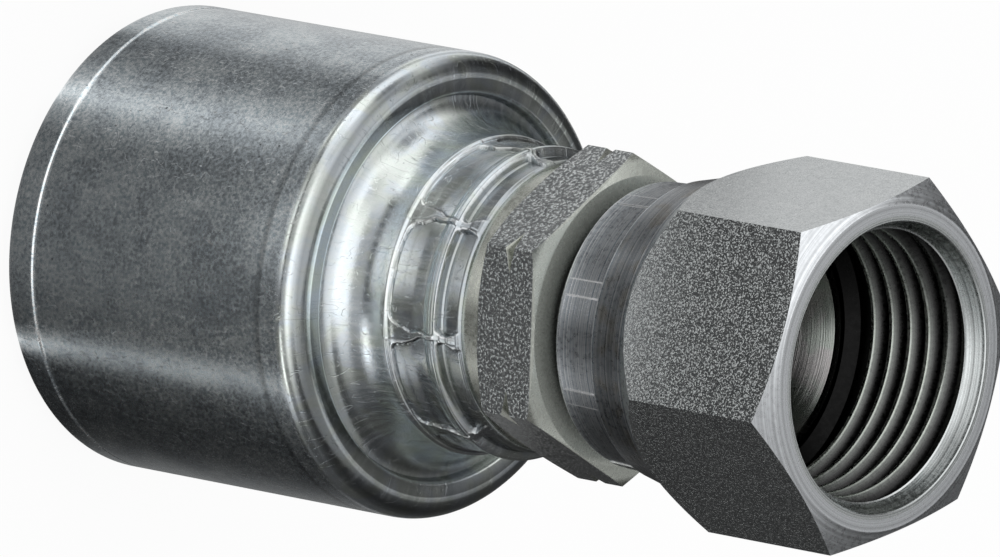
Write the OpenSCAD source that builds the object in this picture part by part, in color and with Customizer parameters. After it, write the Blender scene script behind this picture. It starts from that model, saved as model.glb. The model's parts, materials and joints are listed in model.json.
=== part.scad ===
// Crimp hose fitting with a swivel nut, standing on the open end of its shell.
// The axis is +Z, from the hose end at z = 0 to the mouth of the nut.

/* [Shell] */
// Outer diameter of the shell
shell_d = 36; // [34.5:0.5:38]
// Length from the open end to the front rim
shell_len = 30.7; // [27:0.1:40]
// Wall of the drawn cup
shell_wall = 1.9; // [1.5:0.1:2.1]
// Distance that the edge is rolled in over the opening
mouth_lip = 3.15; // [2.85:0.05:3.5]
// Outside radius of the rolled-in edge
edge_r = 2; // [1.4:0.1:2.2]
// Distance of the scored line from the open end
score_z = 3.6; // [3.2:0.1:5]
// Depth of the scored line
score_depth = 0.12; // [0.08:0.02:0.2]
// Share of the front, from wall to neck, that the rounded shoulder takes
shoulder_share = 0.34; // [0.2:0.005:0.36]
// Share of the front that the flat ring of the rim takes
rim_share = 0.215; // [0.16:0.005:0.28]
// Depth of the dish behind the rim
dish_depth = 0.75; // [0.5:0.05:1.2]
// Diameter of the neck that rises from the dish
neck_d = 25.7; // [25:0.1:26.2]
// Height of the neck's crease above the rim
neck_h = 4.25; // [3.4:0.05:5]
// Share of the neck's height that sweeps up out of the dish
sweep_share = 0.9; // [0.5:0.05:1]

/* [Staked collar] */
// Diameter of the pressed band at the crease
collar_d = 24.2; // [23.8:0.1:24.6]
// Depth that the jaws hollow the middle of the band
band_dip = 0.3; // [0.1:0.05:0.4]
// Length of the pressed band, from the crease to its ledge
band_len = 4.3; // [3.6:0.1:5]
// Height of the bead that stands at the ledge
bead_h = 0.12; // [0.06:0.02:0.2]
// Drop of the ledge in front of the pressed band
ledge_drop = 0.7; // [0.4:0.05:0.9]
// Length of the plain end in front of the ledge
collar_end_len = 2.3; // [2:0.1:3]
// Number of jaws that pressed the collar
jaw_count = 8; // [6:1:10]
// Turn of the first fold from +X
fold_turn = 7; // [0:1:45]
// Width of a fold at the crease
fold_w = 1.9; // [1.2:0.1:2.4]
// Width of a fold where the jaws pinched it
fold_pinch_w = 0.35; // [0.2:0.05:0.6]
// Width of a fold at the front end of the collar
fold_end_w = 1.1; // [0.8:0.1:1.6]
// Height of a fold above the pressed band
fold_h = 0.45; // [0.2:0.05:0.6]

/* [Grip sleeve] */
// Radial clearance between the sleeve and the shell
sleeve_gap = 0.1; // [0.05:0.05:0.2]
// Wall of the sleeve under its teeth
sleeve_wall = 1.3; // [1:0.1:1.5]
// Height of a tooth
tooth_h = 1.1; // [0.8:0.1:1.3]
// Distance from one tooth to the next
tooth_pitch = 2.4; // [2:0.1:3]
// Width of the slot that lets the sleeve close
slot_w = 3; // [2:0.5:4]

/* [Stem tail] */
// Diameter of the bore through the stem
bore_d = 12.2; // [11:0.1:12.6]
// Diameter of the tail between its barbs
tail_d = 15.7; // [15.4:0.1:15.9]
// Height of a barb above the tail
barb_h = 0.4; // [0.2:0.05:0.6]
// Distance from one barb to the next
barb_pitch = 3.2; // [2.8:0.1:4]
// Number of barbs
barb_count = 6; // [3:1:6]
// Distance of the tail's end from the shell's open end
tail_z = 1; // [0.5:0.1:2]
// Diameter of the seat inside the staked collar
stake_d = 19.2; // [18.8:0.1:19.6]
// Depth of the groove that the collar is pressed into
stake_depth = 0.6; // [0.3:0.1:0.8]

/* [Stem hex] */
// Width across the flats of the stem's hex
stem_af = 22.2; // [21.6:0.1:23.8]
// Length of the hex along its corners
stem_hex_len = 5; // [4.4:0.1:7]
// Diameter of the shoulder between the collar and the hex
shoulder_d = 21.8; // [21.2:0.1:22]
// Length from the end of the collar to the hex's corners
shoulder_len = 2.4; // [2:0.1:3]
// Axial length of the hex's rear bevel
stem_bevel_len = 0.85; // [0.6:0.05:1.1]
// Depth of the notch turned into the hex's corners
notch_depth = 0.85; // [0.6:0.05:1.2]
// Width of the notch at the corners
notch_w = 0.9; // [0.6:0.1:1.4]

/* [Stem nose] */
// Diameter of the neck that the nut turns on
nose_neck_d = 16.4; // [15.8:0.1:16.8]
// Length of the neck from the hex to the head's shoulder
nose_neck_len = 7; // [6.6:0.1:9]
// Diameter of the head
head_d = 19.8; // [19.2:0.1:20]
// Length of the head in front of its shoulder
head_len = 3.9; // [3:0.1:5]
// Outer diameter of the conical seat
seat_d = 17.6; // [17:0.1:18]
// Angle of the seat from the axis
seat_angle = 37; // [30:1:45]

/* [Swivel nut] */
// Width across the flats of the nut
nut_af = 25.4; // [25:0.1:27]
// Length of the nut from its collar to its mouth
nut_len = 23.85; // [23:0.05:27]
// Turn of the nut's hex from the stem's hex
nut_turn = -19.7; // [-30:0.1:30]
// Gap between the stem's hex and the nut's collar
nut_gap = 1.8; // [1.4:0.1:2.2]
// Diameter of the swaged collar at the rear of the nut
swage_d = 21.8; // [21.2:0.1:22.2]
// Length of the swaged collar
swage_len = 4.3; // [3.8:0.1:4.6]
// Height of the step in front of the swaged collar
swage_step = 0.5; // [0.3:0.05:0.7]
// Height of the marks left between the swaging jaws
mark_h = 0.12; // [0.08:0.02:0.2]
// Width of those marks
mark_w = 1.3; // [0.8:0.1:1.6]
// Radial clearance between the nut and the stem
swivel_gap = 0.3; // [0.2:0.05:0.35]
// Length of the turned zone in front of the collar
turned_len = 3.6; // [3:0.1:4.5]
// Length of the rear bevel of the nut's hex
nut_bevel_len = 2.9; // [2:0.1:3.2]
// Drop of the corners behind the mouth's face
corner_drop = 0.9; // [0.5:0.1:1.2]
// Diameter of the plain bore behind the thread
nut_bore_d = 20.6; // [20.4:0.1:21]
// Major diameter of the thread's wall
thread_d = 22.3; // [22.1:0.1:22.5]
// Length of the threaded wall
thread_len = 11; // [9:0.5:11.5]
// Diameter of the counterbore in front of the thread
counterbore_d = 22.6; // [22.5:0.1:22.8]
// Depth of that counterbore
counterbore_len = 1.5; // [1:0.1:2]
// Width of the bevel at the mouth
mouth_bevel = 0.2; // [0.1:0.05:0.3]

/* [Hidden] */
$fn = 128;

// Clearance that lets a cut run past a face
past = 1;

// Radii and places of the shell
shell_r = shell_d / 2;
mouth_r = shell_r - mouth_lip;
cup_r = shell_r - shell_wall;
score_half_w = 0.15;
neck_r = neck_d / 2;
front_w = shell_r - neck_r;
shoulder_r = front_w * shoulder_share;
rim_out_r = shell_r - shoulder_r;
rim_in_r = rim_out_r - front_w * rim_share;
rim_edge = front_w * 0.04;
cup_edge_r = front_w * 0.2;
dish_z = shell_len - dish_depth;
dish_lip = front_w * 0.09;
dish_w = rim_in_r - dish_lip - neck_r;
crease_z = shell_len + neck_h;
collar_r = collar_d / 2;
neck_round = 1.5;
neck_round_end = acos(1 - (neck_r - collar_r) / neck_round);
neck_round_z = crease_z - neck_round * sin(neck_round_end);
sweep_h = (neck_round_z - dish_z) * sweep_share;

// Places along the staked collar
ledge_z = crease_z + band_len;
ledge_r = collar_r - 0.15;
ledge_run = 0.35;
bead_run = 0.3;
collar_end_z = ledge_z + collar_end_len;
collar_end_r = ledge_r - ledge_drop;
collar_end_round = 0.35;
stake_r = stake_d / 2;
groove_r = stake_r - stake_depth;
groove_z0 = crease_z + 0.6;
groove_z1 = ledge_z - 0.4;
fold_root = 0.8;
fold_ledge_r = ledge_r + bead_h + 0.1;
fold_pinch_z0 = crease_z + band_len * 0.85;
fold_pinch_z1 = ledge_z + 0.12;
cup_end_z = dish_z - shell_wall;
cup_neck_r = neck_r - shell_wall;

// Places of the grip sleeve
lip_t = shell_wall;
sleeve_z0 = lip_t + 0.1;
sleeve_z1 = cup_end_z - 0.6;
sleeve_out_r = cup_r - sleeve_gap;
sleeve_base_r = sleeve_out_r - sleeve_wall;
sleeve_land = 1.2;
tooth_count = floor((sleeve_z1 - sleeve_z0 - 2 * sleeve_land) / tooth_pitch);
tooth_back = 0.35;

// Places along the stem
bore_r = bore_d / 2;
tail_r = tail_d / 2;
tail_lead = 0.9;
tail_stop_z = cup_end_z - 1.2;
first_barb_z = tail_z + tail_lead + 0.8;
barb_back = 0.25;
land_back = 0.2;
hex0_z = collar_end_z + shoulder_len;
hex1_z = hex0_z + stem_hex_len;
stem_corner_r = stem_af / 2 / cos(30);
stem_front_bevel = 0.5;
neck_fillet = 0.7;
notch_z = hex0_z + stem_hex_len * 0.46;
nose_neck_r = nose_neck_d / 2;
head_r = head_d / 2;
head_shoulder_z = hex1_z + nose_neck_len;
head_run = head_r - nose_neck_r;
head_end_z = head_shoulder_z + head_run + head_len;
head_bevel = 0.4;
seat_r = seat_d / 2;
seat_depth = (seat_r - bore_r) / tan(seat_angle);

// Places along the nut
nut_z0 = hex1_z + nut_gap;
nut_z1 = nut_z0 + nut_len;
nut_corner_r = nut_af / 2 / cos(30);
nut_face_r = nut_af / 2 - 0.3;
swage_r = swage_d / 2;
swage_rise = 0.15;
swage_round = 0.4;
swage_end_z = nut_z0 + swage_len;
turned_r = swage_r + swage_rise + swage_step;
turned_end_r = nut_af / 2 - 0.35;
turned_end_z = swage_end_z + turned_len;
nut_hex0_z = turned_end_z + nut_bevel_len;
nut_hex1_z = nut_z1 - corner_drop;
rear_bore_r = nose_neck_r + swivel_gap;
rear_cone_z = head_shoulder_z + swivel_gap - swivel_gap * sqrt(2);
cavity_r = nut_bore_d / 2;
thread_r = thread_d / 2;
thread_z1 = nut_z1 - counterbore_len;
thread_z0 = thread_z1 - thread_len;
counterbore_r = counterbore_d / 2;
mark_turn = -2.4;
mark_z0 = nut_z0 + swage_round + 0.15;
mark_z1 = swage_end_z - 0.15;

// Points on a quarter oval round c, a wide and b high, from its foot to its inner side
function sweep(c, a, b, steps = 10) =
    [for (i = [0:steps]) c - [a * sin(90 * i / steps), b * cos(90 * i / steps)]];

// Points on an arc round c from angle a0 to angle a1
function arc(c, r, a0, a1, steps = 8) =
    [for (i = [0:steps]) c + r * [cos(a0 + (a1 - a0) * i / steps), sin(a0 + (a1 - a0) * i / steps)]];

// Point where the line from p through q, the corner of a hex, has run a tenth past it
function bevel_end(p, q) = p + 1.1 * (q - p);

// Outer wall of the shell, from its open end to the crease
shell_outside = concat(
    [[mouth_r, 0]],
    arc([shell_r - edge_r, edge_r], edge_r, -90, 0),
    [[shell_r, score_z - score_half_w],
     [shell_r - score_depth, score_z],
     [shell_r, score_z + score_half_w]],
    arc([rim_out_r, shell_len - shoulder_r], shoulder_r, 0, 90),
    [[rim_in_r, shell_len],
     [rim_in_r - rim_edge, shell_len - rim_edge]],
    sweep([neck_r + dish_w, dish_z + sweep_h], dish_w, sweep_h),
    arc([neck_r - neck_round, neck_round_z], neck_round, 0, neck_round_end)
);

// Outer wall of the staked collar, from the crease to its front end
collar_outside = concat(
    [[collar_r - band_dip * 0.7, crease_z + band_len * 0.25],
     [collar_r - band_dip, crease_z + band_len * 0.5],
     [ledge_r - 0.05, ledge_z - band_len * 0.2],
     [ledge_r + bead_h * 0.7, ledge_z - bead_run],
     [ledge_r + bead_h, ledge_z],
     [collar_end_r + 0.1, ledge_z + ledge_run],
     [collar_end_r, ledge_z + ledge_run * 2]],
    arc([collar_end_r - collar_end_round, collar_end_z - collar_end_round], collar_end_round, 0, 90)
);

// Wall where the collar is pressed into the stem, from the front end back to the cup
stake_wall = [
    [stake_r, collar_end_z],
    [stake_r, groove_z1],
    [groove_r, groove_z1 - stake_depth],
    [groove_r, groove_z0 + stake_depth],
    [stake_r, groove_z0]
];

// Inner wall of the cup, from the neck back to the open end
cup_inside = concat(
    [[stake_r, crease_z - shell_wall],
     [cup_neck_r, crease_z - shell_wall - (cup_neck_r - stake_r)]],
    arc([cup_neck_r + cup_edge_r, cup_end_z + cup_edge_r], cup_edge_r, 180, 270),
    arc([cup_r - cup_edge_r, cup_end_z - cup_edge_r], cup_edge_r, 90, 0),
    [[cup_r, lip_t],
     [mouth_r, lip_t]]
);

// Profile of a fold, from the crease to the front end
fold_outside = [
    [collar_r - shell_wall / 2, crease_z - fold_root],
    [collar_r + fold_h * 0.6, crease_z - fold_root],
    [collar_r - band_dip + fold_h, crease_z + band_len * 0.45],
    [fold_ledge_r, ledge_z - bead_run * 1.3],
    [fold_ledge_r, ledge_z + 0.1],
    [collar_end_r + fold_h, ledge_z + ledge_run * 2.5],
    [collar_end_r + fold_h * 0.8, collar_end_z - collar_end_round * 2],
    [collar_end_r - shell_wall / 2, collar_end_z - collar_end_round]
];

// Outline of a fold seen from outside, its width across and its length along the collar
fold_outline = [
    [-fold_w / 2, crease_z - fold_root - 0.2],
    [fold_w / 2, crease_z - fold_root - 0.2],
    [fold_w * 0.36, crease_z + band_len * 0.3],
    [fold_pinch_w * 0.7, fold_pinch_z0],
    [fold_pinch_w / 2, fold_pinch_z1],
    [fold_end_w / 2, collar_end_z],
    [-fold_end_w / 2, collar_end_z],
    [-fold_pinch_w / 2, fold_pinch_z1],
    [-fold_pinch_w * 0.7, fold_pinch_z0],
    [-fold_w * 0.36, crease_z + band_len * 0.3]
];

// One fold of metal squeezed up between two jaws
module stake_fold() {
    intersection() {
        rotate_extrude() polygon(fold_outside);
        rotate([90, 0, 90]) linear_extrude(height = shell_r) polygon(fold_outline);
    }
}

// Drawn cup with its dished front, rolled edge and staked collar
module shell() {
    color("silver") {
        rotate_extrude() polygon(concat(shell_outside, collar_outside, stake_wall, cup_inside));
        for (k = [0:jaw_count - 1])
            rotate([0, 0, fold_turn + k * 360 / jaw_count]) stake_fold();
    }
}

// Split ring with saw teeth that grip the cover of the hose
module grip_sleeve() {
    color("darkgray") difference() {
        rotate_extrude() polygon(concat(
            [[sleeve_base_r, sleeve_z0],
             [sleeve_out_r, sleeve_z0],
             [sleeve_out_r, sleeve_z1],
             [sleeve_base_r, sleeve_z1]],
            [for (i = [tooth_count - 1:-1:0], p = [2:-1:0])
                let (z = sleeve_z0 + sleeve_land + i * tooth_pitch)
                p == 2 ? [sleeve_base_r, z + tooth_pitch]
                : p == 1 ? [sleeve_base_r - tooth_h, z + tooth_pitch - tooth_back]
                : [sleeve_base_r, z]]
        ));
        translate([0, -slot_w / 2, sleeve_z0 - past])
            cube([shell_r, slot_w, sleeve_z1 - sleeve_z0 + 2 * past]);
    }
}

// Round parts of the stem: tail, staked seat, shoulder, neck and head
module stem_round() {
    rotate_extrude() polygon(concat(
        [[bore_r, tail_z],
         [tail_r - 0.5, tail_z],
         [tail_r, tail_z + tail_lead]],
        [for (i = [0:barb_count - 1], p = [0:2])
            let (z = first_barb_z + i * barb_pitch)
            p == 0 ? [tail_r, z]
            : p == 1 ? [tail_r + barb_h, z + barb_pitch * 0.6]
            : [tail_r, z + barb_pitch * 0.6 + barb_back]],
        [[tail_r, tail_stop_z - land_back],
         [stake_r - land_back, tail_stop_z - land_back],
         [stake_r, tail_stop_z],
         [stake_r, groove_z0],
         [groove_r, groove_z0 + stake_depth],
         [groove_r, groove_z1 - stake_depth],
         [stake_r, groove_z1],
         [stake_r, collar_end_z],
         [shoulder_d / 2, collar_end_z],
         [shoulder_d / 2, hex0_z - stem_bevel_len],
         [nose_neck_r + neck_fillet, hex0_z],
         [nose_neck_r + neck_fillet, hex1_z - stem_front_bevel],
         [nose_neck_r, hex1_z + neck_fillet],
         [nose_neck_r, head_shoulder_z],
         [head_r, head_shoulder_z + head_run],
         [head_r, head_end_z - head_bevel],
         [head_r - head_bevel, head_end_z],
         [seat_r, head_end_z],
         [bore_r, head_end_z - seat_depth]]
    ));
}

// Hex of the stem with turned bevels and a notch round its corners
module stem_hex() {
    difference() {
        intersection() {
            translate([0, 0, hex0_z - stem_bevel_len])
                rotate([0, 0, 30])
                cylinder(r = stem_corner_r, h = stem_hex_len + stem_bevel_len, $fn = 6);
            rotate_extrude() polygon([
                [0, hex0_z - stem_bevel_len],
                [stem_af / 2, hex0_z - stem_bevel_len],
                bevel_end([stem_af / 2, hex0_z - stem_bevel_len], [stem_corner_r, hex0_z]),
                bevel_end([stem_af / 2, hex1_z], [stem_corner_r, hex1_z - stem_front_bevel]),
                [stem_af / 2, hex1_z],
                [0, hex1_z]]);
        }
        rotate_extrude() polygon([
            [stem_corner_r - notch_depth, notch_z],
            [stem_corner_r + past, notch_z - notch_w / 2 * (1 + past / notch_depth)],
            [stem_corner_r + past, notch_z + notch_w / 2 * (1 + past / notch_depth)]]);
        translate([0, 0, hex0_z - stem_bevel_len - past])
            cylinder(r = bore_r, h = stem_hex_len + stem_bevel_len + 2 * past);
    }
}

// One-piece stem: barbed tail, staked seat, hex, neck and head with its conical seat
module stem() {
    color("lightslategray") {
        stem_round();
        stem_hex();
    }
}

// Outside of the nut as a turned blank, from its swaged collar to its mouth
nut_blank = concat(
    [[0, nut_z0],
     [swage_r - swage_round, nut_z0]],
    arc([swage_r - swage_round, nut_z0 + swage_round], swage_round, -90, 0, 4),
    [[swage_r + swage_rise, swage_end_z - 0.3],
     [turned_r, swage_end_z],
     [turned_end_r, turned_end_z],
     bevel_end([turned_end_r, turned_end_z], [nut_corner_r, nut_hex0_z]),
     bevel_end([nut_face_r, nut_z1], [nut_corner_r, nut_hex1_z]),
     [nut_face_r, nut_z1],
     [0, nut_z1]]
);

// Bore of the nut, from its swaged rear to its mouth
nut_bore = [
    [0, nut_z0 - past],
    [rear_bore_r, nut_z0 - past],
    [rear_bore_r, rear_cone_z],
    [cavity_r, rear_cone_z + cavity_r - rear_bore_r],
    [cavity_r, thread_z0 - (thread_r - cavity_r)],
    [thread_r, thread_z0],
    [thread_r, thread_z1],
    [counterbore_r, thread_z1 + counterbore_r - thread_r],
    [counterbore_r, nut_z1 - mouth_bevel * 2],
    [counterbore_r + mouth_bevel, nut_z1],
    [counterbore_r + mouth_bevel, nut_z1 + past],
    [0, nut_z1 + past]
];

// Low mark left between two swaging jaws
module swage_mark() {
    intersection() {
        rotate_extrude() polygon([
            [swage_r - 0.5, mark_z0],
            [swage_r + mark_h, mark_z0],
            [swage_r + swage_rise + mark_h, mark_z1],
            [swage_r - 0.5, mark_z1]]);
        translate([0, -mark_w / 2, nut_z0]) cube([nut_corner_r, mark_w, swage_len]);
    }
}

// Swivel nut with a swaged collar at the rear and a threaded mouth
module swivel_nut() {
    color("lightgray") rotate([0, 0, nut_turn]) difference() {
        union() {
            intersection() {
                rotate([0, 0, 30])
                    translate([0, 0, nut_z0]) cylinder(r = nut_corner_r, h = nut_len, $fn = 6);
                rotate_extrude() polygon(nut_blank);
            }
            for (k = [0:jaw_count - 1])
                rotate([0, 0, mark_turn + k * 360 / jaw_count]) swage_mark();
        }
        rotate_extrude() polygon(nut_bore);
    }
}

shell();
grip_sleeve();
stem();
swivel_nut();
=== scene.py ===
"""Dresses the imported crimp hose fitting: plated steel finishes, the nut's thread and a light tent."""

import json
import math

import bpy
from bpy.props import FloatProperty, FloatVectorProperty, IntProperty, PointerProperty
from mathutils import Matrix, Vector


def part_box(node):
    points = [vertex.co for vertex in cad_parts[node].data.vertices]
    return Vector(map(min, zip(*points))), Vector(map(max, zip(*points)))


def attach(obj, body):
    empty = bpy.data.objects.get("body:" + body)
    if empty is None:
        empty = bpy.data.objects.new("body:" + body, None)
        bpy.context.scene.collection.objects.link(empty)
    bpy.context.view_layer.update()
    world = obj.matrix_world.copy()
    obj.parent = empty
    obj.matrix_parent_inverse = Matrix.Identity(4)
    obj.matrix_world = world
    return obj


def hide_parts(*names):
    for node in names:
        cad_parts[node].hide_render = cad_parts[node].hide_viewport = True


bl_info = {
    "name": "Crimp Hose Fitting",
    "version": (1, 0, 0),
    "blender": (4, 5, 0),
    "location": "View3D > Sidebar > Fitting",
    "description": "Finishes, thread and studio for a crimp hose fitting",
    "category": "Object",
}

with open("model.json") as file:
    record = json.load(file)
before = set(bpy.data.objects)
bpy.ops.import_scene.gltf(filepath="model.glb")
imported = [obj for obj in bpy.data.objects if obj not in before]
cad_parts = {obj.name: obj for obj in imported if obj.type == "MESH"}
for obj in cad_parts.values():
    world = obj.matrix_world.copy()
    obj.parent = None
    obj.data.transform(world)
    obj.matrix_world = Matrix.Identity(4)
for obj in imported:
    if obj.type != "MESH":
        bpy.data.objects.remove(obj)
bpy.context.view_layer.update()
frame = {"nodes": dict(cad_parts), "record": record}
SHELL_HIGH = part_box("shell")[1]
MM = 0.001


def length_setting(name, description, size):
    """A length property whose default is given in millimetres."""
    return FloatProperty(name=name, description=description, default=size * MM, unit="LENGTH", precision=5)


def angle_setting(name, description, degrees):
    """An angle property whose default is given in degrees."""
    return FloatProperty(name=name, description=description, default=math.radians(degrees), subtype="ANGLE")


def tone_setting(name, description, colour):
    """A colour property."""
    return FloatVectorProperty(name=name, description=description, default=colour, subtype="COLOR")


# Sizes and colours that a user would change

class ViewSettings(bpy.types.PropertyGroup):
    """The camera at the photograph's angle."""

    azimuth: angle_setting("Azimuth", "Side of the axis that faces the camera, from +X", -13.1)
    elevation: angle_setting("Elevation", "Height of the camera over the floor", 41.0)
    slope: angle_setting("Slope", "Fall of the fitting's axis across the picture", 10.4)
    width: length_setting("Width", "Width of the view at the fitting", 76.0)
    distance: length_setting("Distance", "Distance of the camera from the fitting", 1500.0)
    target: FloatVectorProperty(
        name="Target", description="Point in the middle of the picture",
        default=(-0.000303, -0.001302, 0.03514), subtype="TRANSLATION", unit="LENGTH")


class StudioSettings(bpy.types.PropertyGroup):
    """The floor, the tent round the fitting and the lamps."""

    floor_size: length_setting("Floor size", "Side of the floor", 8000.0)
    tent_radius: length_setting("Tent radius", "Radius of the light tent", 300.0)
    tent_level: FloatProperty(
        name="Tent level", description="Brightness of the tent's cloth", default=1.0, min=0.0)
    floor_glow: FloatProperty(
        name="Floor glow", description="Share of the floor that stays white under the shadow",
        default=0.93, min=0.0, max=1.0, subtype="FACTOR")
    lamp_power: FloatProperty(
        name="Lamp power", description="Power of the key lamp in watts", default=1.6, min=0.0)
    fill_level: FloatProperty(
        name="Fill level", description="Brightness of the room's fill light", default=0.8, min=0.0)


class FinishSettings(bpy.types.PropertyGroup):
    """Tones of the zinc plating on each piece."""

    shell_dark: tone_setting("Shell dark", "Dark tone of the drawn shell", (0.36, 0.40, 0.43))
    shell_light: tone_setting("Shell light", "Light tone of the drawn shell", (0.60, 0.65, 0.67))
    polished: tone_setting("Polished", "Tone of pressed and rubbed steel", (0.92, 0.93, 0.92))
    blasted_dark: tone_setting("Blasted dark", "Pits between the grains of the flats", (0.44, 0.46, 0.47))
    blasted_light: tone_setting("Blasted light", "Grains of the hexes' flats", (0.72, 0.75, 0.75))
    turned: tone_setting("Turned", "Tone of the turned faces", (0.56, 0.59, 0.62))
    sleeve_tone: tone_setting("Sleeve", "Tone of the grip sleeve", (0.42, 0.43, 0.43))


class ShellSettings(bpy.types.PropertyGroup):
    """The drawn shell and the collar that is staked to the stem."""

    radius: length_setting("Radius", "Outer radius of the shell", SHELL_HIGH.x / MM)
    collar_end: length_setting("Collar end", "Place of the collar's front end", SHELL_HIGH.z / MM)
    rim: length_setting("Rim", "Place of the flat ring on the front rim", 30.7)
    wall: length_setting("Wall", "Wall of the drawn cup", 1.9)
    lip: length_setting("Lip", "Distance that the rear edge is rolled in", 3.15)
    edge: length_setting("Edge", "Outside radius of the rolled edge", 2.0)
    score: length_setting("Score", "Place of the scored line", 3.6)
    score_depth: length_setting("Score depth", "Depth of the scored line", 0.12)
    shoulder: length_setting("Shoulder", "Radius of the front shoulder", 1.75)
    ring: length_setting("Ring", "Width of the flat ring", 1.1)
    dish: length_setting("Dish", "Depth of the dish behind the ring", 0.75)
    neck: length_setting("Neck", "Radius of the neck that rises from the dish", 12.32)
    neck_round: length_setting("Neck round", "Radius that ends the neck at the crease", 0.32)
    crease: length_setting("Crease", "Place of the crease where the jaws bite", 34.95)
    crease_radius: length_setting("Crease radius", "Radius of the collar at the crease", 12.1)
    stake: length_setting("Stake", "Radius inside the staked collar", 9.6)
    jaws: IntProperty(name="Jaws", description="Number of jaws that pressed the collar", default=8, min=3)
    first_fold: angle_setting("First fold", "Turn of the first fold from +X", 7.0)
    steps: IntProperty(name="Steps", description="Faces round the shell", default=560, min=96)


class ThreadSettings(bpy.types.PropertyGroup):
    """The thread in the nut's mouth, and the cone that leads into it."""

    pitch: length_setting("Pitch", "Distance from one crest to the next", 25.4 / 14)
    depth: length_setting("Depth", "Height of the crests over the wall", 0.95)
    crest: length_setting("Crest", "Width of the flat on a crest", 0.34)
    counterbore: length_setting("Counterbore", "Radius of the counterbore in front of the thread", 11.3)
    bevel: length_setting("Bevel", "Width of the bevel at the counterbore's edge", 0.2)
    mouth: length_setting("Mouth", "Radius of the nut's mouth at its face", 11.05)
    lead_in: length_setting("Lead-in", "Radius where the turned cone meets the thread", 10.35)
    lead_depth: length_setting("Lead depth", "Depth of that cone", 1.45)
    steps: IntProperty(name="Steps", description="Faces in one turn", default=160, min=24)
    start: angle_setting("Start", "Where the first thread starts, from +X", -60.0)


# Short calls that add shader nodes

class Nodes:
    """Adds nodes to one tree."""

    def __init__(self, tree):
        self.tree = tree
        tree.nodes.clear()

    def node(self, kind, inputs=None, **settings):
        """Adds a node with its settings and what goes into it."""
        made = self.tree.nodes.new(kind)
        for key, value in settings.items():
            setattr(made, key, value)
        for key, source in (inputs or {}).items():
            self.join(source, made.inputs[key])
        return made

    def join(self, source, socket):
        """Links a socket to another one, or gives it a number or a colour."""
        if isinstance(source, bpy.types.NodeSocket):
            self.tree.links.new(source, socket)
        elif isinstance(source, (int, float)):
            socket.default_value = source
        else:
            socket.default_value = (*source, 1.0) if len(socket.default_value) == 4 else source

    def math(self, operation, a, b=0.0, clamp=False):
        return self.node("ShaderNodeMath", {0: a, 1: b}, operation=operation, use_clamp=clamp).outputs[0]

    def seen(self):
        """One where the ray comes from the camera, a reflection or glass."""
        path = self.node("ShaderNodeLightPath").outputs
        seen = self.math("MAXIMUM", path["Is Camera Ray"], path["Is Glossy Ray"])
        return self.math("MAXIMUM", seen, path["Is Transmission Ray"])


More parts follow.
